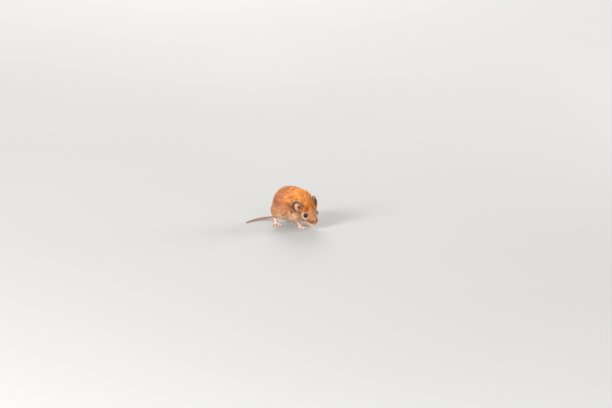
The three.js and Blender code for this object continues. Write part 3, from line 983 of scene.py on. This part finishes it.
# ---------- the lie of the coat ----------
# Where the hair lies which way: axes, a place and a direction on them, and how far that holds.
ON_HEAD, ON_BODY = (HEAD_AXES, HEAD), (np.eye(3), vec(0, 0, 0))
MIDDLE_GUIDES = [
    (ON_HEAD, (12.5, 0, 1), (-1, 0, 0.3), 2.5),
    (ON_HEAD, (6, 0, 3.8), (-1, 0, 0.4), 4),
    (ON_HEAD, (0, 0, 7), (-1, 0, 0.3), 4),
    (ON_HEAD, (-7, 0, 9), (-1, 0, -0.2), 4),
    (ON_HEAD, (6, 0, -7), (-1, 0, -0.15), 4),
    (ON_HEAD, (0, 0, -8), (-1, 0, 0), 4),
    (ON_BODY, (3, 0, 33), (-1, 0, 0.05), 6),
    (ON_BODY, (-8, 0, 36), (-1, 0, -0.05), 6),
    (ON_BODY, (-17, 0, 32), (-0.9, 0, -0.5), 6),
    (ON_BODY, (-22, 0, 22), (-0.35, 0, -1), 6),
    (ON_BODY, (-20, 0, 11), (-0.5, 0, -0.8), 6),
    (ON_BODY, (-6, 0, 3), (-1, 0, 0), 6),
    (ON_BODY, (4, 0, 5), (-1, 0, -0.1), 6),
]
SIDE_GUIDES = [
    (ON_HEAD, (10, 3, -1), (-1, 0.3, -0.1), 2.5),
    (ON_HEAD, (4.5, 4.5, 4), (-1, 0.25, 0.3), 2.5),
    (ON_HEAD, (4.5, 5, -2), (-1, 0.3, -0.35), 2.5),
    (ON_HEAD, (0, 7, 1), (-1, 0.2, 0), 4),
    (ON_HEAD, (-3, 7.5, 4), (-0.9, 0.3, 0.2), 3),
    (ON_HEAD, (-2, 8.5, -4), (-1, 0.1, -0.4), 4),
    (ON_BODY, (-6, 15.5, 20), (-1, 0, -0.42), 6),
    (ON_BODY, (-6, 10, 31), (-1, 0, -0.22), 6),
    (ON_BODY, (5, 8.5, 26), (-0.85, 0.35, -0.3), 4),
    (ON_BODY, (1, 11.5, 18), (-0.9, 0.1, -0.45), 6),
    (ON_BODY, (-4, 12, 9), (-1, 0, -0.25), 6),
    (ON_BODY, (-13, 15, 15), (-0.9, 0, -0.5), 6),
    (ON_BODY, (-20, 10, 16), (-0.6, 0, -0.85), 6),
    (ON_BODY, (5, 10, 9), (-0.45, 0, -0.9), 4),
    (ON_BODY, (7, 7, 5), (0.1, 0, -1), 3),
    (ON_BODY, (-18, 9.5, 9.5), (-0.1, 0, -1), 3.5),
]


def guide(where, place, way, reach, side=1):
    """A row of a table in the animal's frame, mirrored for the right side."""
    axes, middle = where
    return axes @ mirrored(place, side) + middle, unit(axes @ mirrored(way, side)), reach


GUIDES = [guide(*row) for row in MIDDLE_GUIDES] + [guide(*row, s) for s in BOTH for row in SIDE_GUIDES]


def lie(p, ways, part):
    """Which way the hair lies along the skin at each point."""
    flow = np.zeros_like(p)
    for place, direction, reach in GUIDES:
        weight = nearness(p, place, math.sqrt(2) * reach) / reach
        flow += weight[:, None] * direction
    flow = unit(flow)
    for s in BOTH:
        q = ear_place(p, s)
        outward = np.column_stack([q[:, 0] * 0.16, np.ones(len(p)), np.zeros(len(p))]) @ EAR_AXES[s].T
        flow = np.where(((part == EAR_PART) & (norm(q) < EAR_HEIGHT))[:, None], outward, flow)
    for leg in (HIND_LEG, FORE_LEG):
        for s in BOTH:
            ankle, ball, level = foot_line(leg, s)
            near = (part == FOOT_PART) & (norm(p - ball) < 14)
            down = layered(unit(ball - ankle), (level, smoothstep(5, 2, p[:, 2])))
            flow = np.where(near[:, None], down, flow)
    flow = np.where((part == TAIL_PART)[:, None], TAIL_WAYS[tail_step(p)], flow)
    flow = flow + 0.10 * np.stack([waves(p, 6, 20 + k) for k in range(3)], 1)
    flow = flow - ways * (flow * ways).sum(1, keepdims=True)
    return unit(flow)


# ---------- scattering the tufts ----------
skin_triangles = np.concatenate([skin_quads[:, [0, 1, 2]], skin_quads[:, [0, 2, 3]]])
order = np.lexsort(np.round(skin_points[skin_triangles[:, 0]] / 1.5).T)
skin_triangles = skin_triangles[order]
triangle_corners = skin_points[skin_triangles]
triangle_sides = triangle_corners[:, 1:] - triangle_corners[:, :1]
triangle_areas = 0.5 * norm(np.cross(triangle_sides[:, 0], triangle_sides[:, 1]))
triangle_middles = triangle_corners.mean(1)
triangle_ways = unit(skin_ways[skin_triangles].mean(1))
triangle_parts = skin_parts[skin_triangles[:, 0]]


def scattered(weights, count):
    """`count` roots spread over the skin's triangles by weight: their places, ways out and parts."""
    share = np.cumsum(triangle_areas * weights)
    picks = (np.arange(count) + RNG.random(count)) / count * share[-1]
    chosen = np.minimum(np.searchsorted(share, picks), len(share) - 1)
    a, b = RNG.random(count), RNG.random(count)
    over = a + b > 1
    a, b = np.where(over, 1 - a, a), np.where(over, 1 - b, b)
    mix = np.stack([1 - a - b, a, b], 1)[:, :, None]
    roots = (triangle_corners[chosen] * mix).sum(1)
    ways = unit((skin_ways[skin_triangles[chosen]] * mix).sum(1))
    return roots, ways, triangle_parts[chosen]


def clumps(weights, spacing):
    """Centres that neighbouring tufts lean toward, about `spacing` apart, and a tree to search them."""
    count = max(8, int((triangle_areas * (weights > 0)).sum() / spacing**2))
    centres, ways, part = scattered((weights > 0).astype(float), count)
    tree = KDTree(count)
    for k, centre in enumerate(centres):
        tree.insert(centre, k)
    tree.balance()
    return tree, centres, lie(centres, ways, part)


def hair_size(roots, ways):
    """Length and width of the locks: shortest on the muzzle and round the eyes, short by ears and ankles."""
    length = 1.0 + 3.3 * smoothstep(2, 27, norm(roots - head_place(NOSE_TIP)))
    length = np.minimum(length, 0.5 + 0.45 * roots[:, 2])
    for s in BOTH:
        length *= 1 - 0.8 * nearness(roots, EYE_MIDDLE[s], 2.9)
        for leg, share, reach in ((FORE_LEG, 0.6, 3.0), (HIND_LEG, 0.8, 4.2)):
            length *= 1 - share * nearness(roots, mirrored(leg["ankle"], s), reach)
        length *= 1 - 0.3 * nearness(roots, EAR_MIDDLE[s], 4.5)
    return length, 0.085 + 0.034 * length


ABOVE_FLOOR = 0.02  # the height of the lowest locks
ROOTED = 0.12  # how far a lock starts inside the skin
BEND = 0.42  # how far along a lock its bend is
CLUMPING = 0.4  # how far a lock leans toward the middle of its clump
BEND_CLUMPING = 0.35  # and the part of that by which its bend leans
CLUMP_AT = 0.8  # how far along a lock the middle of its clump is taken
FLATNESS = 0.6  # the thickness of a lock beside its width
ROOT_HALF, BEND_HALF = 0.42, 0.5  # from a lock's middle to its corners, at parts of its width
LENGTH_RANGE, WIDTH_RANGE = (0.72, 1.22), (0.75, 1.25)
TONE_SPREAD = 0.24  # from lock to lock
DARK_SHARE, DARK_ABOVE, DARK_TIMES = 0.11, 10, (0.40, 0.42, 0.55)  # dark locks, only above this height
PALE_SHARE, PALE_TIMES, PALE_PLUS = 0.10, 0.85, (0.16, 0.12, 0.07)
ROOT_TONE, BEND_TONE, TIP_TONE = (0.32, 0.30, 0.34), 0.80, 1.32
# Points 0 to 2 of a lock are at its root, 3 to 5 at its bend and 6 at its tip.
LOCK_POINTS = 7
SIDES_TO_BEND = [(0, 1, 4), (0, 4, 3), (1, 2, 5), (1, 5, 4), (2, 0, 3), (2, 3, 5)]
LOCK_FACES = np.array([*SIDES_TO_BEND, (3, 4, 6), (4, 5, 6), (5, 3, 6), (2, 1, 0)])


def lock_tones(roots, tones):
    """The tones at the points of each lock, from its own tone: a few locks are darker or paler than that."""
    dark = (RNG.random(len(roots)) < DARK_SHARE) & (roots[:, 2] > DARK_ABOVE)
    tones = np.where(dark[:, None], tones * DARK_TIMES, tones)
    pale = (RNG.random(len(roots)) < PALE_SHARE)[:, None]
    tones = np.where(pale, tones * PALE_TIMES + PALE_PLUS, tones)
    return np.stack([tones * ROOT_TONE] * 3 + [tones * BEND_TONE] * 3 + [tones * TIP_TONE], 1)


def tufts(
    name,
    weights,
    count,
    size=hair_size,
    tones=coat_colour,
    lift=(38, 12),
    spread=0.2,
    uneven=0.18,
    spacing=1.3,
):
    """One coat piece: `count` closed three-sided locks, each curved over along the lie of the coat.

    size gives each root's length and width. Each lock has a ring at its root, one at its bend, and a point.
    lift is how steeply it leaves the skin and how steeply it ends. uneven is how far clumps differ in tone.
    """
    roots, ways, part = scattered(weights, count)
    flow = lie(roots, ways, part)
    tree, centres, centre_flow = clumps(weights, spacing)
    clump = np.array([tree.find(root)[1] for root in roots])
    clump_tone = np.clip(RNG.normal(1, uneven, len(centres)), 0.45, 1.6)
    clump_lift = RNG.normal(0, 5, len(centres))
    across = np.cross(ways, flow)
    swing = RNG.normal(0, spread, count)[:, None]
    flow, across = unit(flow + across * swing), unit(across - flow * swing)
    length, width = size(roots, ways)
    length = (length * RNG.uniform(*LENGTH_RANGE, count))[:, None]
    width = (width * RNG.uniform(*WIDTH_RANGE, count))[:, None]
    rise = np.radians(np.clip(RNG.normal(lift[0], 6, count) + clump_lift[clump], 5, 70))[:, None]
    droop = np.radians(RNG.normal(lift[1], 5, count) + clump_lift[clump])[:, None]
    start = roots - ways * ROOTED
    bend = start + (flow * np.cos(rise) + ways * np.sin(rise)) * (length * BEND)
    tip = bend + (flow * np.cos(droop) + ways * np.sin(droop)) * (length * (1 - BEND))
    toward = centres[clump] - roots + (centre_flow[clump] - flow) * (length * CLUMP_AT)
    toward -= ways * (toward * ways).sum(1, keepdims=True)
    bend, tip = bend + toward * CLUMPING * BEND_CLUMPING, tip + toward * CLUMPING
    points = np.zeros((count, LOCK_POINTS, 3))
    for k, angle in enumerate(np.radians((90, 210, 330))):
        side = np.cos(angle) * across + FLATNESS * np.sin(angle) * ways
        points[:, k] = start + side * (width * ROOT_HALF)
        points[:, 3 + k] = bend + side * (width * BEND_HALF)
    points[:, 6] = tip
    points[:, :, 2] += np.maximum(0, ABOVE_FLOOR - points[:, :, 2].min(1))[:, None]
    own_tones = tones(roots, ways) * (clump_tone[clump] * RNG.normal(1, TONE_SPREAD, count))[:, None]
    faces = LOCK_FACES[None] + LOCK_POINTS * np.arange(count)[:, None, None]
    piece = mesh_object(name, points.reshape(-1, 3), faces.ravel(), np.full(count * len(LOCK_FACES), 3), COAT)
    painted(piece, lock_tones(roots, own_tones).reshape(-1, 3))
    bake_patches(piece, roots)
    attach(piece, "root")


BAKE_PATCH = 0.003
BAKE_LOW, BAKE_HIGH = -42, 24  # how far back and forward the unwrap reaches


def unwrapped(roots):
    """Each root's place on an unwrap of the skin: how far forward it is, and how far round the body."""
    q = roots - (0, 0, TRUNK[2])
    round_body = np.arctan2(q[:, 1], -q[:, 2]) / (2 * np.pi) + 0.5
    return np.column_stack([(roots[:, 0] - BAKE_LOW) / (BAKE_HIGH - BAKE_LOW), round_body])


def bake_patches(piece, roots):
    """The OFBake map: each tuft is a small patch at its root's place on the unwrap, which fills the map."""
    flat = unwrapped(roots)
    low, high = flat.min(0), flat.max(0)
    flat = BAKE_PATCH + (flat - low) / np.maximum(high - low, 1e-6) * (1 - 3 * BAKE_PATCH)
    local = np.array([(0, 0), (0.5, 0), (1, 0), (0, 0.6), (0.5, 0.6), (1, 0.6), (0.5, 1)]) * BAKE_PATCH
    uv = flat[:, None, None] + local[LOCK_FACES][None]
    layer = piece.data.uv_layers.new(name="OFBake")
    layer.data.foreach_set("uv", uv.astype(np.float32).ravel())


# Which triangles of the skin each piece of the coat grows on.
from_nose = norm(triangle_middles - head_place(NOSE_TIP))
head_at = in_head(triangle_middles)
eye_gap = np.min([norm(triangle_middles - EYE_MIDDLE[s]) for s in BOTH], axis=0)
LID_WIDTH, NOSE_EDGE, GROOVE_EDGE = 0.45, 0.15, 0.12  # how much bare skin there is round each
furred = (triangle_parts == BODY_PART) & (eye_gap > EYE_RADIUS + LID_WIDTH)
furred &= nose_pad(triangle_middles) > NOSE_EDGE
for groove, _ in face_grooves:
    furred &= groove(triangle_middles) > GROOVE_EDGE
is_head = furred & (head_at[:, 0] > -7.5) & (triangle_middles[:, 0] > 5.5)
is_face = is_head & (head_at[:, 0] > 2.2)
is_crown = is_head & ~is_face
is_trunk = furred & ~is_head
height = triangle_middles[:, 2] / BACK_HEIGHT + 0.16 * triangle_ways[:, 2]
is_belly = is_trunk & (height < 0.17)
is_front = is_trunk & ~is_belly & (triangle_middles[:, 0] > 0)
is_rear = is_trunk & ~is_belly & (triangle_middles[:, 0] < -14.5)
is_middle = is_trunk & ~is_belly & ~is_front & ~is_rear
is_right = triangle_middles[:, 1] < 0

COAT_TUFTS = 19900  # in one piece, which keeps it under 200,000 triangles
face_weights = is_face * (1 + 2.2 * np.exp(-from_nose / 7))  # closest on the nose
tufts("coat_face", face_weights, COAT_TUFTS, lift=(33, 10), spread=0.16, uneven=0.12, spacing=0.9)
tufts("coat_crown", is_crown, 16000, lift=(35, 11), spread=0.18, uneven=0.12)
for side_name, on_side in (("right", is_right), ("left", ~is_right)):
    tufts(f"coat_shoulder_{side_name}", is_front & on_side, 12500)
    tufts(f"coat_flank_{side_name}", is_middle & on_side, 18500)
tufts("coat_rump", is_rear, COAT_TUFTS)
tufts("coat_belly", is_belly, 9000)


def even_hair(length, width):
    """Sizes for tufts that are all alike."""
    return lambda roots, ways: (np.full(len(roots), length), np.full(len(roots), width))


def ear_tones(roots, ways):
    """Brown hairs on the back; darker ones in the hollow, as painted shade, round a pale patch that is partly
    pale hair and partly painted light; paler ones on the rim, whitish on top as a pale fringe with a painted
    highlight of backlit hair.
    """
    colour = np.zeros((len(roots), 3))
    for s in BOTH:
        hollow, pale, rim, near = ear_shares(roots, ways, s)
        # Painted highlight in part: the rim's hairs turn whitish toward the top, where a backlit fringe
        # catches the light.
        top = smoothstep(1, 5, ear_place(roots, s)[:, 1])
        tone = layered(
            (0.27, 0.105, 0.035),
            ((0.22, 0.09, 0.04), hollow),
            ((0.74, 0.42, 0.26), pale),
            ((0.62, 0.33, 0.17), 0.7 * rim),
            ((0.92, 0.68, 0.50), 0.8 * rim * top),
        )
        colour[near] = tone[near]
    return colour


is_ear = triangle_parts == EAR_PART
ear_hair = even_hair(1.15, 0.085)
tufts("coat_ears", is_ear, 11000, ear_hair, ear_tones, lift=(36, 20), spread=0.3, spacing=0.8)


def foot_hair(roots, ways):
    """Short hair, shortest on the toes."""
    return 0.5 + 0.5 * smoothstep(1.5, 6, roots[:, 2]), np.full(len(roots), 0.07)


def foot_tones(roots, ways):
    return layered((0.64, 0.44, 0.39), ((0.66, 0.50, 0.41), smoothstep(1, 6, roots[:, 2])))


is_foot = (triangle_parts == FOOT_PART) & (triangle_ways[:, 2] > -0.35)
tufts("coat_feet", is_foot, 4500, foot_hair, foot_tones, lift=(12, 4), spread=0.15)


def tail_hair_tones(roots, ways):
    """A little paler than the skin of the tail."""
    return tail_tones(ways) * 1.05


is_tail = triangle_parts == TAIL_PART
tail_hair = even_hair(0.8, 0.06)
tufts("coat_tail", is_tail, 6500, tail_hair, tail_hair_tones, lift=(13, 3), spread=0.14)


# ---------- eyes ----------
CORNEA_RISE, CORNEA_SPREAD = 0.05, 0.6  # at parts of the eye's radius, and in radians from its middle


def eyeball(side_name, side):
    """A round eye with a raised cornea, looking outward: rings of points between two poles."""
    rings, around = 29, 40
    polar = np.repeat(np.linspace(0, np.pi, rings + 2)[1:-1], around)
    turned = np.tile(2 * np.pi * np.arange(around) / around, rings)
    radius = EYE_RADIUS * (1 + CORNEA_RISE * np.exp(-((polar / CORNEA_SPREAD) ** 2)))
    ball = np.stack([np.sin(polar) * np.cos(turned), np.sin(polar) * np.sin(turned), np.cos(polar)], 1)
    front, rear = (0, 0, EYE_RADIUS * (1 + CORNEA_RISE)), (0, 0, -EYE_RADIUS)
    points = np.concatenate([[front], ball * radius[:, None], [rear]])
    last = len(points) - 1
    faces = []
    for k in range(around):
        n = (k + 1) % around
        faces.append((0, 1 + k, 1 + n))
        for a in range(1, last - around, around):
            faces.append((a + k, a + around + k, a + around + n, a + n))
        faces.append((last, last - around + n, last - around + k))
    placed = points @ LID_AXES[side].T + EYE_MIDDLE[side]
    if np.linalg.det(LID_AXES[side]) < 0:
        faces = [face[::-1] for face in faces]
    piece = mesh_object(f"eyeball_{side_name}", *joined_arrays([(placed, faces)]), WET_EYE)
    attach(piece, "root")
    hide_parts(f"eye_{side_name}")


for side_name, side in SIDES.items():
    eyeball(side_name, side)


# ---------- tapered curved rods: claws and whiskers ----------
def rod(line, radii, around):
    """Points and faces of a closed tapered tube along a line of points."""
    line = np.asarray(line, float)
    forward = unit(np.gradient(line, axis=0))
    side = unit(np.cross(forward, vec(0.03, 0.02, 1)))
    up = np.cross(side, forward)
    angles = 2 * np.pi * np.arange(around) / around
    out = side[:, None] * np.cos(angles)[None, :, None] + up[:, None] * np.sin(angles)[None, :, None]
    points = (line[:, None] + out * np.asarray(radii)[:, None, None]).reshape(-1, 3)
    faces = [tuple(range(around))]
    for r in range(len(line) - 1):
        for k in range(around):
            n = (k + 1) % around
            faces.append((r * around + k, r * around + n, (r + 1) * around + n, (r + 1) * around + k)[::-1])
    faces.append(tuple(range(len(points) - around, len(points)))[::-1])
    return points, faces


CLAW_TIP = 0.12  # the height of a claw's tip


def claws():
    """Short curved claws, one on each toe."""
    parts = []
    for leg in (HIND_LEG, FORE_LEG):
        for side in BOTH:
            for line, direction in toe_lines(leg, side):
                thick = leg["toe_radius"]
                start = line[-1] + direction * thick * 0.35 + vec(0, 0, thick * 0.4)
                t = np.linspace(0, 1, 8)[:, None]
                reach = CLAW_LENGTH + thick * 0.9
                path = start + direction * reach * t - vec(0, 0, 1) * (start[2] - CLAW_TIP) * t**2.2
                radii = CLAW_RADIUS * 0.95 * (1 - t[:, 0]) ** 0.7 + 0.03
                parts.append(rod(path, radii, 8))
    piece = mesh_object("claws", *joined_arrays(parts), claw_material())
    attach(piece, "root")
    nodes = []
    for end, toes in (("hind", HIND_TOES), ("fore", FORE_TOES)):
        nodes += [f"claw_{end}_{side}_{n + 1}" for side in SIDES for n in range(len(toes))]
    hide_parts(*nodes)


claws()


WHISKER_ROWS = (5, 5, 5, 4)  # from the highest to the lowest
BROW_WHISKERS = 3
SWEEP_BACK, SWEEP_DOWN = 0.35, 0.10  # how far a whisker bends along the head and down, at parts of its length


def whiskers():
    """Long fine whiskers in rows on each side of the muzzle, and a few above each eye."""
    parts = []
    for side in BOTH:
        for row, columns in enumerate(WHISKER_ROWS):
            for column in range(columns):
                at = vec(11.6 - 1.15 * column, side * (2.6 + 0.42 * column), 0.2 - 0.95 * row - 0.1 * column)
                outward, upward = side * (1.05 + 0.05 * row), 0.42 - 0.34 * row - 0.08 * column
                way = unit((0.62 - 0.34 * column, outward, upward))
                length = 6.5 + 4.0 * column - 0.6 * row + RNG.uniform(-0.8, 0.8)
                parts.append(whisker(at, way, length))
        for step in range(BROW_WHISKERS):
            at = EYE * (1, side, 1) + (0.6 - 1.1 * step, side * -0.4, 2.8)
            parts.append(whisker(at, unit((-0.1 - 0.15 * step, side * 0.7, 1.1)), 4.4 - 0.7 * step))
    piece = mesh_object("whiskers", *joined_arrays(parts), WHISKER)
    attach(piece, "root")


def whisker(at, way, length):
    """One whisker, from a root on the head: it starts on the skin and sweeps back and a little down."""
    root = head_place(at)
    way = HEAD_AXES @ way
    for _ in range(6):
        root = root - slope_of(skin_surface, root[None])[0] * skin_surface(root[None])[0]
    t = np.linspace(0, 1, 12)[:, None]
    sweep = HEAD_AXES @ vec(-SWEEP_BACK, 0, 0) + vec(0, 0, -SWEEP_DOWN)
    line = root - way * 0.3 + way * length * t + sweep * length * t**2
    thickness = 0.024 + 0.0014 * length
    return rod(line, thickness * (1 - t[:, 0]) ** 0.8 + 0.01, 5)


whiskers()

# ---------- studio ----------
# The photograph shows the animal from its right front, a little above, and small in a wide frame.
AZIMUTH, ELEVATION = math.radians(35), math.radians(16)
FRAME_WIDTH_PIXELS, FRAME_HEIGHT_PIXELS = 612, 408
MM_PER_PIXEL = 0.93  # in the photograph, at the animal
EYE_PIXEL = (305.9, 215.6)  # where the near eye is in the photograph
LENS, SENSOR = 300.0, 36.0


def set_up(name, data, place, behind):
    """An object in the scene at a place, its back toward another direction."""
    thing = bpy.data.objects.new(name, data)
    bpy.context.scene.collection.objects.link(thing)
    thing.location = Vector(place)
    thing.rotation_euler = Vector(behind).to_track_quat("Z", "Y").to_euler()
    return thing


def camera():
    """A long lens that sees the near eye where it is in the photograph."""
    level = math.cos(ELEVATION)
    back = vec(math.sin(AZIMUTH) * level, -math.cos(AZIMUTH) * level, math.sin(ELEVATION))
    right = vec(math.cos(AZIMUTH), math.sin(AZIMUTH), 0)
    up = np.cross(back, right)
    across, down = EYE_PIXEL[0] - FRAME_WIDTH_PIXELS / 2, EYE_PIXEL[1] - FRAME_HEIGHT_PIXELS / 2
    target = to_row(EYE_MIDDLE[-1]) + (up * down - right * across) * MM_PER_PIXEL / 1000
    distance = FRAME_WIDTH_PIXELS * MM_PER_PIXEL / 1000 * LENS / SENSOR
    data = bpy.data.cameras.new("camera")
    data.lens, data.sensor_width = LENS, SENSOR
    data.clip_start, data.clip_end = 0.01, 100
    bpy.context.scene.camera = set_up("camera", data, target + back * distance, back)


FLOOR_HALF = 40.0
LAMPS = [  # name, place in metres, size, watts, colour
    ("key", (-0.5, -1.38, 0.7), 0.63, 36, (1, 0.96, 0.9)),
    ("fill", (1.05, -0.45, 0.26), 0.7, 5.5, (1, 0.98, 0.96)),
    ("low", (0.45, -1.1, 0.1), 0.6, 11, (1, 0.97, 0.93)),
    ("back", (-1.1, 1.25, 0.75), 0.9, 24, (1, 1, 1)),
    ("left", (0.6, 1.0, 0.38), 0.6, 12, (1, 1, 1)),
]
SKY, SKY_STRENGTH = (1, 0.985, 0.97, 1), 0.68


def studio():
    """A plain floor, lamps all round and a pale sky."""
    mesh = bpy.data.meshes.new("floor")
    corners = [(x * FLOOR_HALF, y * FLOOR_HALF, 0) for x, y in ((-1, -1), (1, -1), (1, 1), (-1, 1))]
    mesh.from_pydata(corners, [], [(0, 1, 2, 3)])
    mesh.materials.append(FLOOR)
    floor = bpy.data.objects.new("floor", mesh)
    bpy.context.scene.collection.objects.link(floor)
    for name, place, size, watts, colour in LAMPS:
        data = bpy.data.lights.new(name, "AREA")
        data.size, data.energy, data.color = size, watts, colour
        set_up(name, data, place, place)
    world = bpy.data.worlds.new("world")
    world.use_nodes = True
    sky = world.node_tree.nodes["Background"]
    sky.inputs["Color"].default_value = SKY
    sky.inputs["Strength"].default_value = SKY_STRENGTH
    bpy.context.scene.world = world


camera()
studio()
bpy.context.scene.view_settings.view_transform = "Standard"
